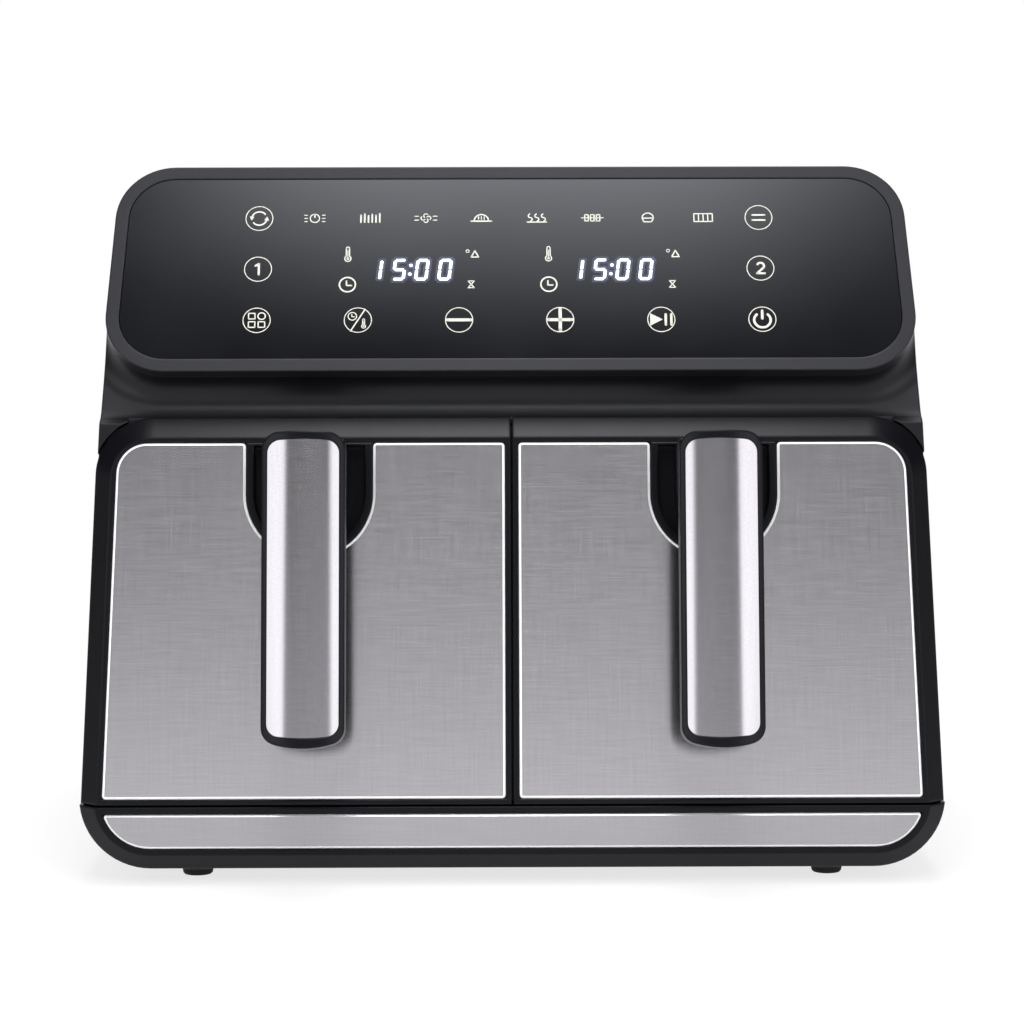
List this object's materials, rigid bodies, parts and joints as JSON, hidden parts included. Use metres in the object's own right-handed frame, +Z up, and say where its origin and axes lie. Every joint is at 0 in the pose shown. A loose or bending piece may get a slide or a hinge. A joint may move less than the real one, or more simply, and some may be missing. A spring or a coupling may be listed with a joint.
{
  "type": "air fryer",
  "caption": "Air fryer with side-by-side pull-out baskets behind leaning steel drawer fronts with upright handles, under a tilted black touch panel.",
  "frame": {"origin": "on the floor, under the middle of the whole object's box, handles included", "axes": "+Z up, the drawer fronts face -Y, +X to the right seen from the front"},
  "size_m": [0.382, 0.3664, 0.3158],
  "materials": {
    "housing_plastic": "fine matt black moulding",
    "panel_frame_plastic": "fine matt black moulding",
    "panel_glass": "clear gloss over black printed back",
    "drawer_plastic": "satin black moulding",
    "brushed_facing": "fine brushed stainless steel",
    "foot_rubber": "matt",
    "bumper_silicone": "matt silicone",
    "nonstick": "speckled dark non-stick coating",
    "cavity_sheet": "aluminised sheet",
    "element_steel": "dark annealed tube",
    "fan_metal": "pressed sheet",
    "shaft_steel": "turned",
    "motor_paint": "zinc grey",
    "board_green": "solder mask",
    "component_plastic": "moulded"
  },
  "bodies": {
    "housing": {"base_tray": "housing_plastic", "base_trim": "brushed_facing", "board_posts": "component_plastic", "cavity_left": "cavity_sheet", "cavity_right": "cavity_sheet", "control_board": "board_green", "control_glass": "panel_glass", "cord_gland": "housing_plastic", "exhaust_ducts": "cavity_sheet", "fan_guard_left": "cavity_sheet", "fan_guard_right": "cavity_sheet", "front_frame": "housing_plastic", "heat_shield": "cavity_sheet", "heater_left": "element_steel", "heater_right": "element_steel", "housing_shell": "housing_plastic", "led_displays": "component_plastic", "motor_brackets": "cavity_sheet", "motor_left": "motor_paint", "motor_right": "motor_paint", "panel_frame": "panel_frame_plastic", "power_board": "board_green", "power_components": "component_plastic", "rear_cover": "housing_plastic", "reed_sensors": "component_plastic", "rubber_feet": "foot_rubber", "runner_rails": "cavity_sheet", "temperature_probes": "element_steel", "thermal_cutouts": "component_plastic"},
    "drawer_left": {"drawer_front_left": "drawer_plastic", "drawer_facing_left": "brushed_facing", "drawer_box_left": "drawer_plastic", "drawer_magnet_left": "motor_paint", "handle_socket_left": "drawer_plastic", "handle_body_left": "drawer_plastic", "handle_cover_left": "brushed_facing", "handle_screws_left": "shaft_steel", "basket_left": "nonstick"},
    "plate_left": {"crisper_plate_left": "nonstick", "plate_bumpers_left": "bumper_silicone"},
    "fan_left": {"fan_shaft_left": "shaft_steel", "hot_fan_left": "fan_metal", "cooling_fan_left": "fan_metal"},
    "drawer_right": {"drawer_front_right": "drawer_plastic", "drawer_facing_right": "brushed_facing", "drawer_box_right": "drawer_plastic", "drawer_magnet_right": "motor_paint", "handle_socket_right": "drawer_plastic", "handle_body_right": "drawer_plastic", "handle_cover_right": "brushed_facing", "handle_screws_right": "shaft_steel", "basket_right": "nonstick"},
    "plate_right": {"crisper_plate_right": "nonstick", "plate_bumpers_right": "bumper_silicone"},
    "fan_right": {"fan_shaft_right": "shaft_steel", "hot_fan_right": "fan_metal", "cooling_fan_right": "fan_metal"}
  },
  "joints": [
    {"name": "drawer_left_slide", "type": "slide", "parent": "housing", "child": "drawer_left", "axis": [0, -1, 0], "range_m": [0, 0.27]},
    {"name": "plate_left_lift", "type": "slide", "parent": "drawer_left", "child": "plate_left", "axis": [0, 0, 1], "range_m": [0, 0.1]},
    {"name": "fan_left_spin", "type": "hinge", "parent": "housing", "child": "fan_left", "pos_m": [-0.0897, 0.02774, 0.24835], "axis": [0, 0, 1], "continuous": true},
    {"name": "drawer_right_slide", "type": "slide", "parent": "housing", "child": "drawer_right", "axis": [0, -1, 0], "range_m": [0, 0.27]},
    {"name": "plate_right_lift", "type": "slide", "parent": "drawer_right", "child": "plate_right", "axis": [0, 0, 1], "range_m": [0, 0.1]},
    {"name": "fan_right_spin", "type": "hinge", "parent": "housing", "child": "fan_right", "pos_m": [0.0897, 0.02774, 0.24835], "axis": [0, 0, 1], "continuous": true}
  ]
}
